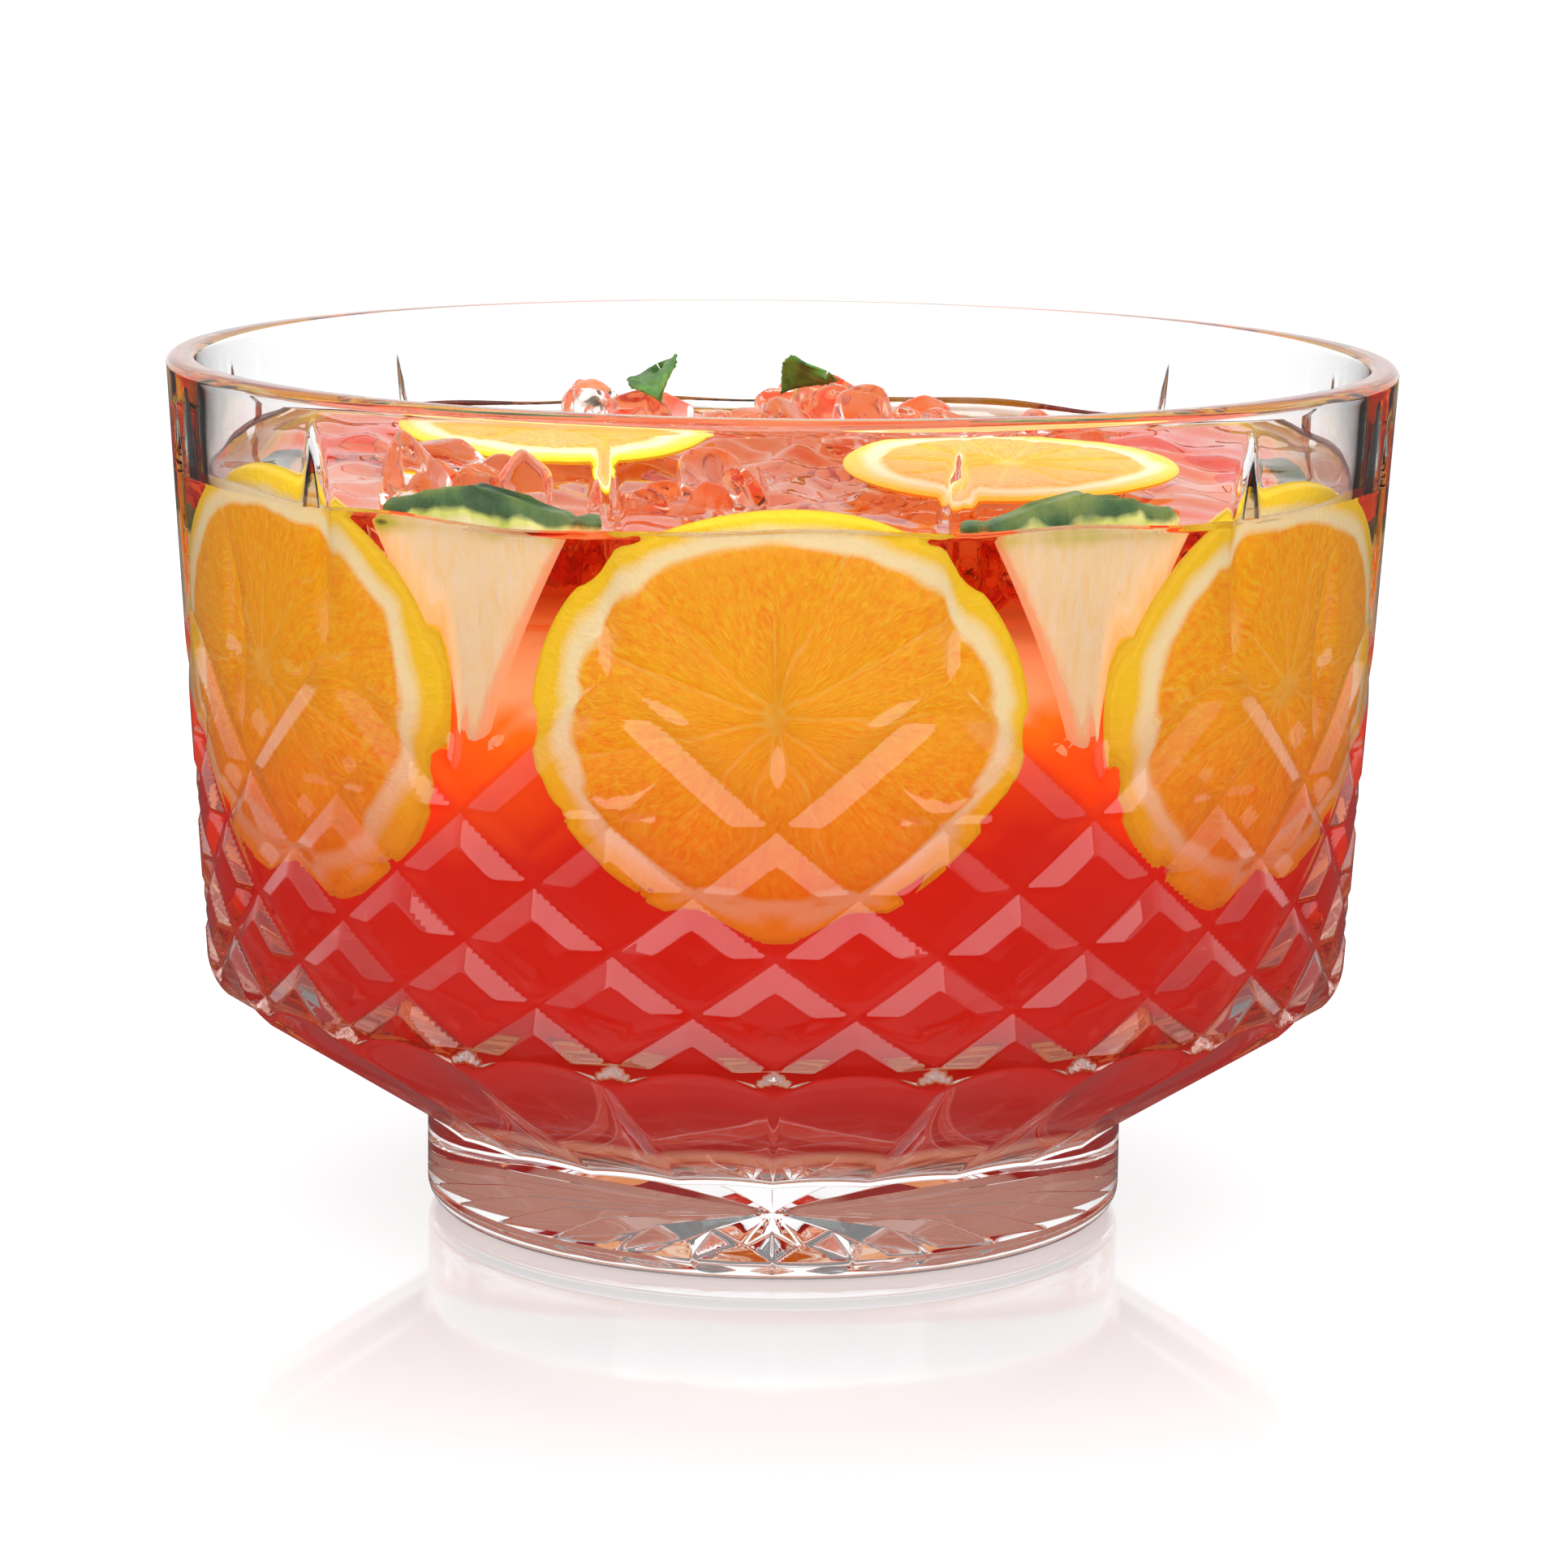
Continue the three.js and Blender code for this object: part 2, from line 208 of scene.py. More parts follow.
def wall_depth(column, z):
    depth = groove_depth(column, row_at(z))
    for leaf in (TALL_FLUTE, SHORT_LEAF):
        depth = np.maximum(depth, leaf_depth(leaf, column, z))
    return depth


def petal_height(column, radius):
    """Height of the hollow petals on the cone."""
    across = np.mod(column, 2) - 1
    deepest = 0.5 + (radius - FOOT_RADIUS) / (105 - FOOT_RADIUS) * (PETAL_DEPTH - 0.5)
    hollow = 0.4 + deepest * (1 - across**2)
    return FOOT_TOP_Z + (radius - FOOT_RADIUS) * CONE_SLOPE + 1.19 * hollow


def petal_top(column):
    """Height at which the petals run out through the shoulder."""
    low = np.full(column.shape, DRUM_BASE_Z - SHOULDER_DROP)
    high = np.full(column.shape, 62.0)
    for _ in range(40):
        middle = (low + high) / 2
        under = middle < petal_height(column, body_radius(middle))
        low = np.where(under, middle, low)
        high = np.where(under, high, middle)
    return (low + high) / 2


def star_height(column, radius):
    """Underside of the foot with its star of V rays."""
    keel = np.interp(radius, [7, 38, 57.5], [0.5, RAY_DEPTH, -0.2])
    offset = np.mod(column + 1, 2) - 1
    aside = np.abs(offset) * COLUMN * radius
    return RECESS_DEPTH + np.maximum(keel - aside / RAY_FLANK, 0)


def glass_rings():
    """Every ring of the bowl from under the foot, over the rim and down to the floor inside."""
    column = np.arange(48 * CELLS) / CELLS
    ones = np.ones_like(column)
    rings = []
    for radius in np.concatenate([np.linspace(6, 56, 24), [57]]):
        rings.append((radius * ones, star_height(column, radius)))
    foot = arc((60.0, 1.4), 1.4, 200, 270, 5) + arc((67.2, 4.8), 4.8, -90, 0, 9)
    junction = petal_height(column, FOOT_RADIUS)
    for radius, z in foot:
        rings.append((radius * ones, z * ones))
    for share in np.linspace(0.1, 0.93, 7):
        rings.append((FOOT_RADIUS * ones, 4.8 + share * (junction - 4.8)))
    top = petal_top(column)
    reach = body_radius(top)
    for share in np.linspace(0, 1, 28):
        radius = FOOT_RADIUS + share * (reach - FOOT_RADIUS)
        rings.append((radius, petal_height(column, radius)))
    lattice_bottom = row_height(LATTICE_ROWS)
    for share in np.linspace(0, 1, 12)[1:-1]:
        z = top + share * (lattice_bottom - top)
        rings.append((body_radius(z) - wall_depth(column, z), z))
    rows = np.linspace(LATTICE_ROWS, -2, (LATTICE_ROWS + 2) * CELLS + 1)
    heights = list(row_height(rows)) + list(np.linspace(row_height(-2), 173.8, 42)[1:])
    for z in heights:
        rings.append((drum_radius(z) - wall_depth(column, z * ones), z * ones))
    rim = arc((RIM_RADIUS - 2.2, 173.8), 2.2, 12, 90, 8) + arc((120.5, 174.2), 1.8, 90, 180, 8)
    inside = [(inner_radius(z), z) for z in np.linspace(172, INNER_BASE_Z, 10)]
    floor = [(108.9, 62.5), (106.9, 56.8), (103.6, 51.4), (97.4, 45.3), (90.6, 40.9), (84, 37.1)]
    floor += [(77, 34), (69, 31), (58, 28.9), (45, 27.7), (30, 27.2), (15, FLOOR_Z)]
    for radius, z in rim + inside + floor:
        rings.append((radius * ones, z * ones))
    return column, rings


def best_diagonals(column, rings):
    """Whether each cell splits better along its other diagonal, so that creases stay sharp."""
    radius = np.array([r for r, _ in rings])
    height = np.array([z for _, z in rings])
    ahead = np.roll(column, -1)
    ahead[-1] = 48
    centre_column = (column + ahead) / 2
    flip = np.zeros((len(rings) - 1, len(column)), dtype=bool)
    for r in range(len(rings) - 1):
        z = (height[r] + height[r + 1]) / 2
        if z.min() < 45 or z.max() > 171 or radius[r].min() < 112:
            continue
        true = body_radius(z) - wall_depth(centre_column, z)
        first = (radius[r] + np.roll(radius[r + 1], -1)) / 2
        second = (np.roll(radius[r], -1) + radius[r + 1]) / 2
        flip[r] = np.abs(second - true) < np.abs(first - true)
    return flip


def build_glass(material):
    column, rings = glass_rings()
    angle = column * COLUMN
    points = []
    for radius, z in rings:
        points.append(np.stack([radius * np.sin(angle), -radius * np.cos(angle), z], axis=1))
    points = np.concatenate(points)
    poles = [[0, 0, RECESS_DEPTH], [0, 0, FLOOR_Z]]
    count = len(points)
    points = np.concatenate([points, poles])
    flip = best_diagonals(column, rings)
    faces = ring_faces(len(rings), len(column), count, count + 1, flip)
    bowl = make_object("cut_glass_bowl", points, faces, material)
    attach(bowl, "bowl")
    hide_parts("glass_bowl")
    return bowl


# ---------------------------------------------------------------- punch


def build_punch(material):
    """The liquid, a hair into the glass so that no air shows between them."""
    into_glass = 0.08
    columns = 192
    angle = np.linspace(0, 2 * math.pi, columns, endpoint=False)
    profile = [(15, FLOOR_Z), (30, 27.2), (45, 27.7), (58, 28.9), (69, 31), (77, 34), (84, 37.1)]
    profile += [(90.6, 40.9), (97.4, 45.3), (103.6, 51.4), (106.9, 56.8), (108.9, 62.5)]
    profile += [(inner_radius(z), z) for z in np.linspace(INNER_BASE_Z, PUNCH_LEVEL, 14)]
    rings = []
    for radius, z in profile:
        rings.append(((radius + into_glass) * np.ones(columns), (z - into_glass) * np.ones(columns)))
    edge = inner_radius(PUNCH_LEVEL) + into_glass
    ripple = 0.9 * np.sin(5 * angle + 0.7) + 0.6 * np.sin(11 * angle + 2) + 0.4 * np.sin(17 * angle)
    for inset, climb in [(0, 1.9), (0.5, 1.2), (1.2, 0.6), (2.4, 0.15), (5, 0)]:
        rings.append(((edge - inset) * np.ones(columns), PUNCH_LEVEL + climb + 0.7 * ripple))
    for radius in np.linspace(edge - 8, 4, 40):
        x, y = radius * np.sin(angle), radius * np.cos(angle)
        wave = np.sin(0.31 * x + 0.17 * y) + np.sin(0.13 * x - 0.36 * y + 2) + np.sin(0.42 * x + 0.4)
        wave += np.sin(0.45 * y - 0.28 * x + 1)
        fade = (radius / edge) ** 3
        level = PUNCH_LEVEL + 0.7 * ripple * fade + 0.5 * wave * (1 - fade)
        rings.append((radius * np.ones(columns), level))
    points = [np.stack([r * np.sin(angle), -r * np.cos(angle), z], axis=1) for r, z in rings]
    points = np.concatenate(points + [[[0, 0, FLOOR_Z - into_glass], [0, 0, PUNCH_LEVEL]]])
    count = len(rings) * columns
    faces = ring_faces(len(rings), columns, count, count + 1)
    liquid = make_object("punch_liquid", points, faces, material)
    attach(liquid, "bowl")
    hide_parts("punch")


def build_pulp(material):
    """The cloudy heart of the punch, which hides the far side of the bowl."""
    columns = 96
    angle = np.linspace(0, 2 * math.pi, columns, endpoint=False)
    profile = [(30, 32.2), (55, 34.0), (70, 38.5), (82, 45.5), (88, 52), (92.5, 60)]
    profile += [(inner_radius(z) - 16.5, z) for z in (68, 80, 95, 110, 122)]
    profile += [(94, 127.5), (86, 130), (60, 131), (30, 131.5)]
    points = []
    for radius, z in profile:
        swell = radius + 0.8 * np.sin(7 * angle + z * 0.2) * (radius > 60)
        points.append(np.stack([swell * np.sin(angle), -swell * np.cos(angle), z + 0 * angle], axis=1))
    points = np.concatenate(points + [[[0, 0, 31.9], [0, 0, 131.5]]])
    count = len(profile) * columns
    faces = ring_faces(len(profile), columns, count, count + 1)
    pulp = make_object("cloudy_pulp", points, faces, material)
    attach(pulp, "bowl")
    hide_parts("punch")


# ---------------------------------------------------------------- fruit


def slice_grid(half_width, half_height, thickness, segments, seed):
    """A round slice, face up: points, faces and the distances its material needs."""
    local = np.random.default_rng(seed)
    rings, columns = 40, 144
    angle = np.linspace(0, 2 * math.pi, columns, endpoint=False)
    edges = np.linspace(0, 2 * math.pi, segments, endpoint=False)
    edges = edges + local.uniform(-0.09, 0.09, segments) + local.uniform(0, 1)
    heart = local.uniform(-2.5, 2.5, 2)
    wobble = 1 + 0.012 * np.sin(2 * angle + seed) + 0.008 * np.sin(5 * angle + 2 * seed)
    shares = np.concatenate([np.linspace(0.02, 0.9, rings - 8), np.linspace(0.92, 1.0, 8)])
    points, rind, web = [], [], []
    for side in (1, -1):
        order = shares if side == 1 else shares[::-1]
        for share in order:
            x = half_width * share * np.cos(angle) * wobble
            z = half_height * share * np.sin(angle) * wobble
            to_edge = (1 - share) * (half_width + half_height) / 2
            from_heart = np.stack([x - heart[0], z - heart[1]], axis=1)
            far = np.linalg.norm(from_heart, axis=1)
            bearing = np.arctan2(from_heart[:, 1], from_heart[:, 0])
            gap = np.abs(np.mod(bearing[:, None] - edges[None, :] + math.pi, 2 * math.pi) - math.pi)
            to_web = np.min(gap, axis=1) * far
            to_web = np.minimum(to_web, np.maximum(far - 3.0, 0))
            to_pith = to_edge - 7.0
            corner = 1 / (1 / np.maximum(to_web, 0.01) ** 2 + 1 / np.maximum(to_pith, 0.01) ** 2) ** 0.5
            inside = np.where(to_pith > 0, corner, 0)
            plump = 0.55 * (1 - np.exp(-inside / 1.3)) - 0.2 * np.exp(-inside / 0.4)
            round_off = 1 - max(0.0, (1.2 - to_edge) / 1.2) ** 2
            depth = side * (thickness / 2 - 0.6) * math.sqrt(max(round_off, 0.0)) + side * plump
            points.append(np.stack([x, np.broadcast_to(depth, x.shape), z], axis=1))
            rind.append(np.full(columns, to_edge))
            web.append(inside)
    points = np.concatenate(points)
    rows = 2 * rings
    count = len(points)
    thick = thickness / 2 - 0.4
    points = np.concatenate([points, [[0, thick, 0], [0, -thick, 0]]])
    faces = ring_faces(rows, columns, count, count + 1)
    rind = np.concatenate(rind + [[half_width, half_width]])
    web = np.concatenate(web + [[0.0, 0.0]])
    return points, faces, rind, web


def along_wall(points, turn, centre_z, face_gap, thickness, lean=0.0):
    """Bends a flat piece on to the inside of the wall at an angle from the front."""
    x, y, z = points[:, 0], points[:, 1], points[:, 2] + centre_z
    low = np.clip(-points[:, 2] / SLICE_HALF_WIDTH, 0, 1)
    radius = inner_radius(z) - face_gap - thickness / 2 + y - lean * low**2
    angle = turn + x / 113.0
    return np.stack([radius * np.sin(angle), -radius * np.cos(angle), z], axis=1)


def turn_of(node):
    low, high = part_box(node)
    x, y = (low[0] + high[0]) / 2, (low[1] + high[1]) / 2
    return math.atan2(x, -y)


def build_wall_slices(material):
    for index in range(1, 7):
        node = f"orange_slice_{index}"
        low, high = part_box(node)
        half_height = (high[2] - low[2]) / 2 / MM
        centre_z = (high[2] + low[2]) / 2 / MM
        flat, faces, rind, web = slice_grid(SLICE_HALF_WIDTH, half_height, 5.0, 11, index)
        points = along_wall(flat, turn_of(node), centre_z, 0.8, 5.0, lean=8.0)
        piece = make_object(f"orange_wheel_{index}", points, faces, material)
        finish_slice(piece, flat, rind, web, index)
        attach(piece, node + "_body")
        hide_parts(node)


def finish_slice(piece, flat, rind, web, seed):
    store(piece, "rind", rind)
    store(piece, "web", web)
    # Redder towards the low edge of the flat slice: painted red shade standing in for the punch that the
    # light passes through in front of it.
    store(piece, "painted_punch_shade", np.clip(0.5 - flat[:, 2] / 80, 0, 1))
    angle = np.arctan2(flat[:, 2], flat[:, 0])
    reach = np.hypot(flat[:, 0], flat[:, 2])
    layer = piece.data.attributes.new("grain", "FLOAT_VECTOR", "POINT")
    spread = np.stack([9 * np.cos(angle), 9 * np.sin(angle), reach * 0.16 + seed * 7], axis=1)
    layer.data.foreach_set("vector", spread.astype(np.float32).ravel())


def build_floating_slices(material):
    for index, (node, (tilt, turn)) in enumerate(FLOATING.items()):
        low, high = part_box(node)
        centre = (Vector(low) + Vector(high)) / 2
        flat, faces, rind, web = slice_grid(32.0, 32.0, 3.0, 10, 20 + index)
        lie = Matrix.Rotation(math.radians(turn), 3, "Z") @ Matrix.Rotation(
            math.radians(90 + tilt), 3, "X"
        )
        bend = flat.copy()
        bend[:, 1] += 0.0012 * flat[:, 0] ** 2 - 0.7
        points = bend @ np.array(lie).T + np.array(centre) / MM
        piece = make_object(f"floating_wheel_{index + 1}", points, faces, material)
        finish_slice(piece, flat, rind, web, 20 + index)
        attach(piece, "ice_layer")
        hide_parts(node)


def wedge_grid(bottom, top, thickness, seed):
    """A pineapple wedge: rings from its tip to its crown of rind."""
    local = np.random.default_rng(seed)
    columns, rows = 72, 60
    turn = np.linspace(0, 2 * math.pi, columns, endpoint=False)
    power = 0.32
    shape_x = np.sign(np.cos(turn)) * np.abs(np.cos(turn)) ** power
    shape_y = np.sign(np.sin(turn)) * np.abs(np.sin(turn)) ** power
    points, crust = [], []
    lean = local.uniform(-2.5, 2.5)
    for row in range(rows):
        t = row / (rows - 1)
        z = bottom + (top - bottom) * t
        half = WEDGE_TIP_HALF_WIDTH + (WEDGE_HALF_WIDTH - WEDGE_TIP_HALF_WIDTH) * t**1.15
        half *= 1 - 0.9 * max(0.0, (t - 0.93) / 0.07) ** 3
        close = min(1.0, math.sqrt(max(0.0, t) / 0.04)) if t < 0.04 else 1.0
        deep = thickness / 2 * close * (1 - 0.55 * max(0.0, (t - 0.88) / 0.12) ** 2)
        x = half * close * shape_x + lean * (1 - t)
        arch = 3.2 * (1 - (x / WEDGE_HALF_WIDTH) ** 2) * t - 1.2
        knobs = 0.9 * np.cos(x * 0.62 + seed) * max(0.0, (t - 0.86) / 0.14)
        y = deep * shape_y
        points.append(np.stack([x, y, z + arch * t**3 + knobs], axis=1))
        crust.append(np.full(columns, (top - z)) + 0.8 * np.cos(x * 0.5 + seed))
    points = np.concatenate(points)
    count = len(points)
    points = np.concatenate([points, [[lean, 0, bottom], [0, 0, points[-columns:, 2].mean()]]])
    faces = ring_faces(rows, columns, count, count + 1)
    crust = np.concatenate(crust + [[top - bottom, 0]])
    return points, faces, crust


def build_wedges(material):
    for index in range(1, 7):
        node = f"pineapple_wedge_{index}"
        low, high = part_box(node)
        flat, faces, crust = wedge_grid(low[2] / MM, high[2] / MM, 8.0, index)
        points = along_wall(flat, turn_of(node), 0.0, WEDGE_WALL_GAP, 8.0)
        piece = make_object(f"pineapple_piece_{index}", points, faces, material)
        store(piece, "crust", crust)
        layer = piece.data.attributes.new("fibre", "FLOAT_VECTOR", "POINT")
        spread = np.stack([flat[:, 0], flat[:, 1], flat[:, 2] * 0.2 + index * 9], axis=1)
        layer.data.foreach_set("vector", (spread * 0.12).astype(np.float32).ravel())
        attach(piece, node + "_body")
        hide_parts(node)


# ---------------------------------------------------------------- ice and mint


def ice_chip(build, centre, size, fineness):
    """Adds one melted chip of ice to a bmesh: a ball cut by random planes, with soft edges."""
    ball = bmesh.ops.create_icosphere(build, subdivisions=fineness, radius=1.0)["verts"]
    planes = rng.normal(size=(13, 3))
    planes /= np.linalg.norm(planes, axis=1)[:, None]
    reach = rng.uniform(0.55, 1.0, 13)
    stretch = rng.uniform(0.65, 1.0, 3)
    for vertex in ball:
        towards = np.array(vertex.co) / np.linalg.norm(vertex.co)
        facing = np.maximum(planes @ towards, 0.05)
        distance = np.append(reach / facing, 1.25)
        radius = (distance**-14.0).sum() ** (-1 / 14.0)
        vertex.co = Vector((towards * radius * size * stretch + centre) * MM)


def build_ice(material):
    for index in range(1, 20):
        node = f"ice_lump_{index:02d}"
        low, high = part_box(node)
        centre = (np.array(low) + np.array(high)) / 2 / MM
        sunken = centre[2] < 149
        build = bmesh.new()
        for chip in range(7):
            bearing = chip * 2.4 + index
            reach = 13.5 * math.sqrt((chip + 0.3) / 7)
            place = centre + [reach * math.cos(bearing), reach * math.sin(bearing), 0]
            place[2] += 0.0 if sunken else rng.uniform(-3.5, 5.5)
            ice_chip(build, place, rng.uniform(6.0, 10.5), 3 if sunken else 4)
        mesh = bpy.data.meshes.new(f"crushed_ice_{index:02d}")
        bmesh.ops.recalc_face_normals(build, faces=build.faces)
        build.to_mesh(mesh)
        build.free()
        mesh.materials.append(material)
        mesh.polygons.foreach_set("use_smooth", np.ones(len(mesh.polygons), dtype=bool))
        piece = bpy.data.objects.new(mesh.name, mesh)
        bpy.context.scene.collection.objects.link(piece)
        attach(piece, "ice_layer")
        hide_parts(node)


def build_mint(material):
    for index in range(1, 3):
        node = f"mint_leaf_{index}"
        low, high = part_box(node)
        centre = (np.array(low) + np.array(high)) / 2 / MM + [0, 0, 2.0]
        rows, columns = 26, 12
        turn = rng.uniform(0, 2 * math.pi)
        lie = np.array(Euler((0.5, 0.25, turn)).to_matrix())
        points = []
        for side in (0.25, -0.25):
            for row in range(rows):
                t = row / (rows - 1)
                half = 5.5 * math.sin(math.pi * t**0.8) ** 0.9 + 0.15
                half *= 1 + 0.06 * math.sin(row * 2.6)
                for c in range(columns):
                    s = c / (columns - 1) * 2 - 1
                    fold = 1.9 * abs(s) + 0.35 * math.sin(9 * abs(s) + 14 * t)
                    lift = 2.2 * math.sin(math.pi * t) + side
                    points.append([(t - 0.5) * 19, s * half, fold + lift])
        faces = []
        size = rows * columns
        for row in range(rows - 1):
            for c in range(columns - 1):
                a = row * columns + c
                faces.append((a, a + 1, a + columns + 1, a + columns))
                b = a + size
                faces.append((b, b + columns, b + columns + 1, b + 1))
        border = [c for c in range(columns)]
        border += [r * columns + columns - 1 for r in range(1, rows)]
        border += [(rows - 1) * columns + c for c in range(columns - 2, -1, -1)]
        border += [r * columns for r in range(rows - 2, 0, -1)]
        for i, a in enumerate(border):
            b = border[(i + 1) % len(border)]
            faces.append((a, b, b + size, a + size))
        placed = np.array(points) @ lie.T + centre
        piece = make_object(f"mint_sprig_{index}", placed, faces, material)
        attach(piece, "ice_layer")
        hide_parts(node)


# ---------------------------------------------------------------- materials


class Nodes:
    """Short helpers for writing a node material."""

    def __init__(self, name):
        self.material = bpy.data.materials.new(name)
        self.material.use_nodes = True
        self.tree = self.material.node_tree
        self.shader = self.tree.nodes["Principled BSDF"]
        self.output = self.tree.nodes["Material Output"]

    def new(self, kind, **settings):
        node = self.tree.nodes.new(kind)
        for key, value in settings.items():
            setattr(node, key, value)
        return node

    def link(self, source, target):
        self.tree.links.new(source, target)

    def attribute(self, name, socket="Fac"):
        return self.new("ShaderNodeAttribute", attribute_name=name).outputs[socket]

    def noise(self, scale, detail=4.0, roughness=0.55, vector=None, distortion=0.0):
        node = self.new("ShaderNodeTexNoise")
        node.inputs["Scale"].default_value = scale
        node.inputs["Detail"].default_value = detail
        node.inputs["Roughness"].default_value = roughness
        node.inputs["Distortion"].default_value = distortion
        if vector is None:
            vector = self.new("ShaderNodeTexCoord").outputs["Object"]
        self.link(vector, node.inputs["Vector"])
        return node.outputs["Fac"]

    def ramp(self, source, stops):
        node = self.new("ShaderNodeValToRGB")
        elements = node.color_ramp.elements
        while len(elements) > 1:
            elements.remove(elements[-1])
        elements[0].position = stops[0][0]
        elements[0].color = (*stops[0][1], 1)
        for place, colour in stops[1:]:
            elements.new(place).color = (*colour, 1)
        self.link(source, node.inputs["Fac"])
        return node.outputs["Color"]

    def mapped(self, source, low, high, to_low=0.0, to_high=1.0):
        node = self.new("ShaderNodeMapRange")
        for name, value in (
            ("From Min", low),
            ("From Max", high),
            ("To Min", to_low),
            ("To Max", to_high),
        ):
            node.inputs[name].default_value = value
        self.link(source, node.inputs["Value"])
        return node.outputs["Result"]

    def maths(self, operation, first, second):
        node = self.new("ShaderNodeMath", operation=operation)
        for i, value in enumerate((first, second)):
            if isinstance(value, (int, float)):
                node.inputs[i].default_value = value
            else:
                self.link(value, node.inputs[i])
        return node.outputs["Value"]

    def mix(self, share, first, second):
        node = self.new("ShaderNodeMix", data_type="RGBA")
        for name, value in (("Factor", share), ("A", first), ("B", second)):
            if name == "Factor":
                socket = node.inputs[0]
            else:
                socket = node.inputs[6 if name == "A" else 7]
            if isinstance(value, (int, float)):
                socket.default_value = value
            elif isinstance(value, tuple):
                socket.default_value = (*value, 1)
            else:
                self.link(value, socket)
        return node.outputs[2]

    def bump(self, height, strength, distance):
        node = self.new("ShaderNodeBump")
        node.inputs["Strength"].default_value = strength
        node.inputs["Distance"].default_value = distance
        self.link(height, node.inputs["Height"])
        self.link(node.outputs["Normal"], self.shader.inputs["Normal"])

    def set(self, **values):
        for name, value in values.items():
            socket = self.shader.inputs[name.replace("_", " ")]
            if socket.type == "RGBA":
                socket.default_value = (*value, 1)
            else:
                socket.default_value = value


def glass_material():
    m = Nodes("cut_glass")
    m.set(Base_Color=(1.0, 1.0, 1.0), Roughness=0.0, IOR=1.5)
    m.set(Transmission_Weight=1.0, Specular_Tint=(1.0, 1.0, 1.0))
    m.bump(m.noise(38.0, detail=2.0), 0.12, 0.0006)
    return m.material


def punch_material():
    m = Nodes("fruit_punch")
    m.set(Base_Color=(1.0, 1.0, 1.0), Roughness=0.0, IOR=1.34)
    m.set(Transmission_Weight=1.0, Specular_Tint=(0.1, 0.1, 0.1))
    fog = m.new("ShaderNodeVolumeAbsorption")
    fog.inputs["Color"].default_value = (0.92, 0.5, 0.1, 1)
    fog.inputs["Density"].default_value = 40.0
    m.link(fog.outputs["Volume"], m.output.inputs["Volume"])
    m.bump(m.noise(35.0, detail=2.0), 0.12, 0.0008)
    return m.material


def pulp_material():
    m = Nodes("cloudy_pulp")
    place = m.new("ShaderNodeTexCoord").outputs["Object"]
    split = m.new("ShaderNodeSeparateXYZ")
    m.link(place, split.inputs[0])
    drift = m.noise(22.0, detail=3.0)
    level = m.maths("ADD", split.outputs["Z"], m.mapped(drift, 0.3, 0.7, -0.012, 0.012))
    height = m.mapped(level, 0.06, 0.132)
    deep, middle, high, top = (0.6, 0.022, 0.018), (0.66, 0.03, 0.022), (0.92, 0.12, 0.02), (1.0, 0.6, 0.4)
    bands = [(0.0, deep), (0.4, middle), (0.68, high), (0.86, (1.0, 0.28, 0.02)), (0.96, top)]
    colour = m.ramp(height, bands)
    colour = m.mix(m.mapped(split.outputs["Z"], 0.0335, 0.0355, 0.8, 0.0), colour, (1.0, 0.62, 0.56))
    m.link(colour, m.shader.inputs["Base Color"])
    # The colour is also emitted: a painted glow that lifts the red beyond the light reaching the pulp.
    m.link(colour, m.shader.inputs["Emission Color"])
    m.set(Emission_Strength=0.42)
    m.link(m.mapped(drift, 0.3, 0.7, 0.5, 0.8), m.shader.inputs["Roughness"])
    m.set(Specular_IOR_Level=0.0)
    m.bump(m.noise(60.0), 0.2, 0.002)
    return m.material


def orange_material():
    m = Nodes("orange_flesh")
    rind = m.attribute("rind")
    web = m.attribute("web")
    grain = m.attribute("grain", "Vector")
    sacs = m.noise(3.2, detail=3.0, vector=grain, distortion=0.4)
    fine = m.noise(420.0, detail=3.0)
    broad = m.noise(45.0, detail=2.0)
    flesh = m.ramp(sacs, [(0.25, (0.97, 0.24, 0.001)), (0.5, (1.0, 0.39, 0.002)), (0.75, (1.0, 0.56, 0.02))])
    flesh = m.mix(m.mapped(broad, 0.35, 0.7, 0.0, 0.45), flesh, (1.0, 0.42, 0.004))
    pale = m.mapped(web, 0.1, 0.6, 0.75, 0.0)
    skin = m.mix(m.mapped(fine, 0.3, 0.7), (1.0, 0.45, 0.03), (1.0, 0.58, 0.1))
    colour = m.mix(pale, flesh, skin)
    edge = m.maths("ADD", rind, m.mapped(broad, 0.3, 0.7, -1.5, 1.5))
    colour = m.mix(m.mapped(edge, 8.0, 6.6, 0.0, 0.9), colour, (1.0, 0.84, 0.5))
    colour = m.mix(m.mapped(edge, 5.0, 2.6), colour, (1.0, 0.62, 0.015))
    # Painted red shade of the punch in front of the slice's lower part, not the fruit's own colour.
    colour = m.mix(m.mapped(m.attribute("painted_punch_shade"), 0.45, 1.0, 0.0, 0.72), colour, (0.9, 0.06, 0.01))
    m.link(colour, m.shader.inputs["Base Color"])
    # The flesh colour is also emitted: a painted glow standing in for light the slices would pass on from
    # behind.
    m.link(colour, m.shader.inputs["Emission Color"])
    m.set(Emission_Strength=0.32)
    m.set(Roughness=0.28, Specular_IOR_Level=0.4)
    m.set(Subsurface_Weight=0.35, Subsurface_Radius=(0.9, 0.35, 0.06), Subsurface_Scale=0.006)
    m.bump(m.maths("ADD", sacs, m.maths("MULTIPLY", fine, 0.3)), 0.5, 0.0009)
    return m.material


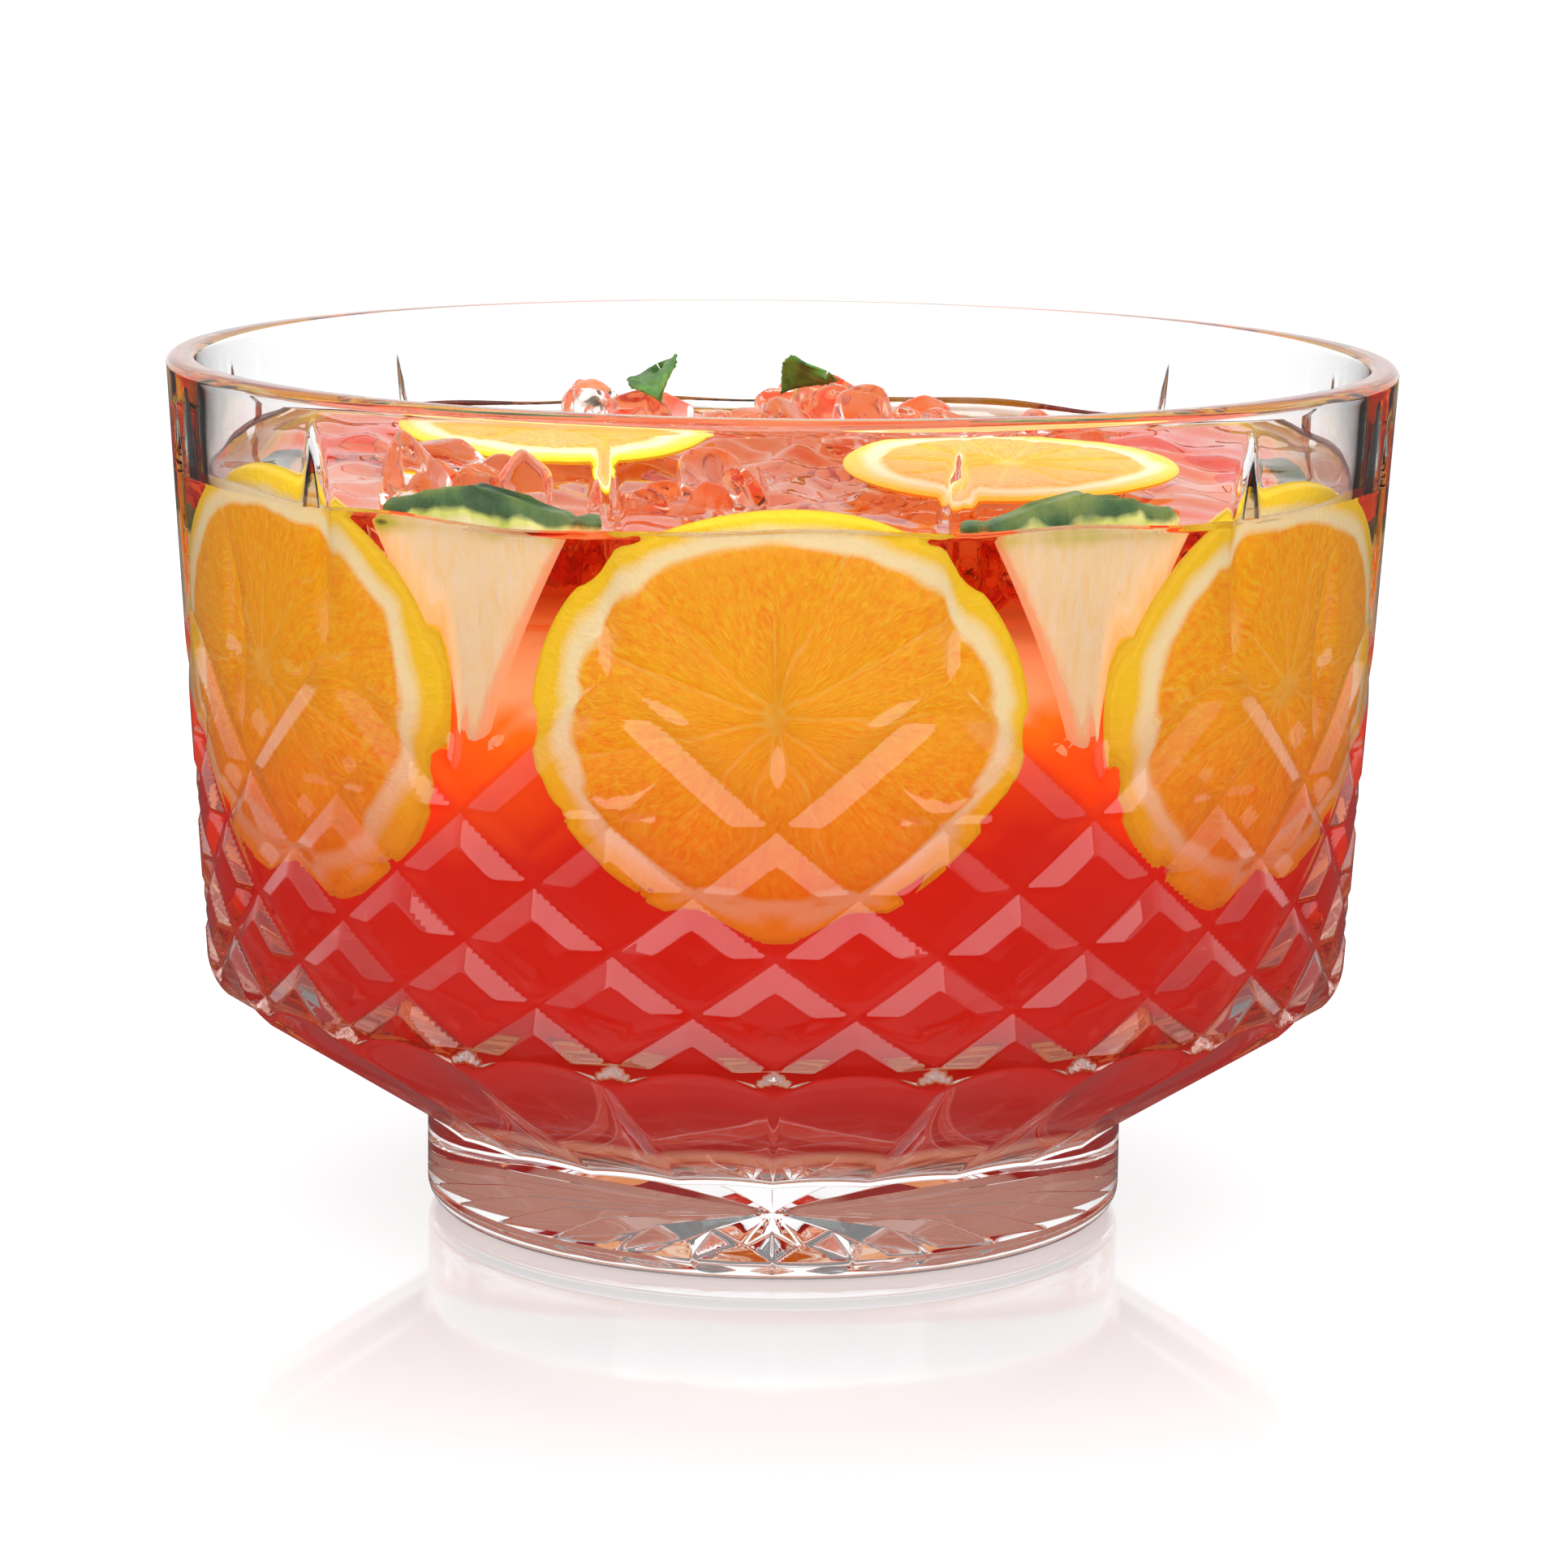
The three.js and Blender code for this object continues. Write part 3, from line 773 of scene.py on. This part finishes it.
def pineapple_material():
    m = Nodes("pineapple_flesh")
    crust = m.attribute("crust")
    fibre = m.attribute("fibre", "Vector")
    strands = m.noise(6.0, detail=4.0, vector=fibre, distortion=0.3)
    patches = m.noise(60.0, detail=3.0)
    fine = m.noise(900.0, detail=2.0)
    flesh = m.ramp(strands, [(0.3, (1.0, 0.8, 0.46)), (0.55, (1.0, 0.88, 0.64)), (0.8, (1.0, 0.94, 0.78))])
    under = m.mix(m.mapped(patches, 0.4, 0.6), (0.62, 0.66, 0.12), (0.85, 0.78, 0.3))
    greens = [(0.35, (0.012, 0.03, 0.012)), (0.5, (0.05, 0.12, 0.03)), (0.68, (0.22, 0.26, 0.06))]
    rind = m.ramp(patches, greens)
    edge = m.maths("ADD", crust, m.mapped(patches, 0.3, 0.7, -1.6, 1.6))
    colour = m.mix(m.mapped(edge, 7.0, 4.4), flesh, under)
    colour = m.mix(m.mapped(edge, 4.2, 3.2), colour, rind)
    m.link(colour, m.shader.inputs["Base Color"])
    # The flesh colour is also emitted: a painted glow that makes the wedges brighter than the light reaching
    # them.
    m.link(colour, m.shader.inputs["Emission Color"])
    m.set(Emission_Strength=0.32)
    m.set(Roughness=0.35, Specular_IOR_Level=0.4)
    m.set(Subsurface_Weight=0.25, Subsurface_Radius=(0.8, 0.6, 0.3), Subsurface_Scale=0.005)
    m.bump(m.maths("ADD", strands, m.maths("MULTIPLY", fine, 0.25)), 0.6, 0.0012)
    return m.material


def ice_material():
    m = Nodes("wet_ice")
    cloud = m.noise(90.0, detail=3.0)
    place = m.new("ShaderNodeTexCoord").outputs["Object"]
    split = m.new("ShaderNodeSeparateXYZ")
    m.link(place, split.inputs[0])
    # Below the punch line the ice gets a painted pink tint, standing in for the punch-coloured light seen
    # through it. Above the line it is near white.
    painted_punch_tint = m.mapped(split.outputs["Z"], 0.15, 0.16, 1.0, 0.0)
    pink = m.ramp(cloud, [(0.3, (1.0, 0.86, 0.76)), (0.7, (1.0, 0.98, 0.95))])
    m.link(m.mix(painted_punch_tint, (1.0, 0.985, 0.98), pink), m.shader.inputs["Base Color"])
    m.link(m.mapped(cloud, 0.45, 0.8, 0.0, 0.2), m.shader.inputs["Roughness"])
    m.set(IOR=1.2, Transmission_Weight=1.0)
    m.bump(m.noise(200.0, detail=2.0), 0.25, 0.0006)
    return m.material


def mint_material():
    m = Nodes("mint_leaf")
    veins = m.noise(300.0, detail=4.0)
    green = m.ramp(veins, [(0.3, (0.03, 0.09, 0.012)), (0.6, (0.1, 0.26, 0.03)), (0.8, (0.3, 0.45, 0.08))])
    m.link(green, m.shader.inputs["Base Color"])
    m.set(Roughness=0.45)
    m.bump(veins, 0.5, 0.0006)
    return m.material


# ---------------------------------------------------------------- set


def build_camera():
    distance, height, aim = 1.0705, 0.2814, 0.0869
    data = bpy.data.cameras.new("camera")
    data.sensor_width = 36.0
    data.lens = 121.0
    camera = bpy.data.objects.new("camera", data)
    bpy.context.scene.collection.objects.link(camera)
    tilt = math.atan2(height - aim, distance)
    roll = math.radians(0.72)
    yaw = math.radians(0.07)
    look = Matrix.Rotation(-yaw, 4, "Z") @ Matrix.Rotation(math.pi / 2 - tilt, 4, "X")
    camera.matrix_world = Matrix.Translation((0, -distance, height)) @ look @ Matrix.Rotation(roll, 4, "Z")
    bpy.context.scene.camera = camera


def build_world():
    world = bpy.data.worlds.new("studio")
    bpy.context.scene.world = world
    world.use_nodes = True
    tree = world.node_tree
    shade = tree.nodes["Background"]
    coord = tree.nodes.new("ShaderNodeTexCoord")
    split = tree.nodes.new("ShaderNodeSeparateXYZ")
    ramp = tree.nodes.new("ShaderNodeMapRange")
    below = tree.nodes.new("ShaderNodeMapRange")
    both = tree.nodes.new("ShaderNodeMath")
    both.operation = "MULTIPLY"
    tree.links.new(coord.outputs["Generated"], split.inputs[0])
    tree.links.new(split.outputs["Y"], ramp.inputs["Value"])
    tree.links.new(split.outputs["Z"], below.inputs["Value"])
    below.inputs["From Min"].default_value = -0.12
    below.inputs["From Max"].default_value = -0.05
    below.inputs["To Min"].default_value = 0.08
    below.inputs["To Max"].default_value = 1.0
    tree.links.new(ramp.outputs["Result"], both.inputs[0])
    tree.links.new(below.outputs["Result"], both.inputs[1])
    ramp.inputs["From Min"].default_value = -0.82
    ramp.inputs["From Max"].default_value = -0.5
    ramp.inputs["To Min"].default_value = 0.09
    ramp.inputs["To Max"].default_value = 1.04
    tree.links.new(both.outputs["Value"], shade.inputs["Strength"])
    shade.inputs["Color"].default_value = (1, 1, 1, 1)


def build_floor():
    """A white glossy table, whose gloss dies away from the bowl."""
    m = Nodes("white_table")
    place = m.new("ShaderNodeTexCoord").outputs["Object"]
    reach = m.new("ShaderNodeVectorMath", operation="LENGTH")
    m.link(place, reach.inputs[0])
    away = m.mapped(reach.outputs["Value"], 0.08, 0.27)
    bounced = m.mapped(m.new("ShaderNodeLightPath").outputs["Glossy Depth"], 0.0, 1.0)
    m.link(m.mix(bounced, (0.3, 0.3, 0.3), (0.0, 0.0, 0.0)), m.shader.inputs["Base Color"])
    glow = m.mapped(away, 0.0, 1.0, 0.46, 0.84)
    m.link(m.mix(bounced, (1.0, 1.0, 1.0), (0.02, 0.02, 0.02)), m.shader.inputs["Emission Color"])
    m.link(glow, m.shader.inputs["Emission Strength"])
    m.link(m.mapped(away, 0.0, 1.0, 0.75, 0.0), m.shader.inputs["Specular IOR Level"])
    m.set(Roughness=0.07, IOR=2.0)
    size = 12000.0
    points = [(-size, -size, 0), (size, -size, 0), (size, size, 0), (-size, size, 0)]
    floor = make_object("table", points, [(0, 1, 2, 3)], m.material, smooth=False)
    floor.location.z = -0.0002
    floor.visible_glossy = False


def build_lights():
    """One large softbox in front, which gives the cuts their pale flanks."""
    place = Vector((0.0, -1.4, 0.72))
    data = bpy.data.lights.new("softbox", "AREA")
    data.shape = "RECTANGLE"
    data.energy = 48.0
    data.size = 3.6
    data.size_y = 1.6
    light = bpy.data.objects.new("softbox", data)
    light.location = place
    light.rotation_euler = (-place).to_track_quat("-Z", "Y").to_euler()
    bpy.context.scene.collection.objects.link(light)


build_camera()
build_world()
build_lights()
build_floor()
build_glass(glass_material())
build_punch(punch_material())
build_pulp(pulp_material())
flesh = orange_material()
build_wall_slices(flesh)
build_floating_slices(flesh)
build_wedges(pineapple_material())
build_ice(ice_material())
build_mint(mint_material())

cycles = bpy.context.scene.cycles
cycles.max_bounces = 32
cycles.transmission_bounces = 24
cycles.glossy_bounces = 16

view = bpy.context.scene.view_settings
view.view_transform = "Standard"
view.look = "None"
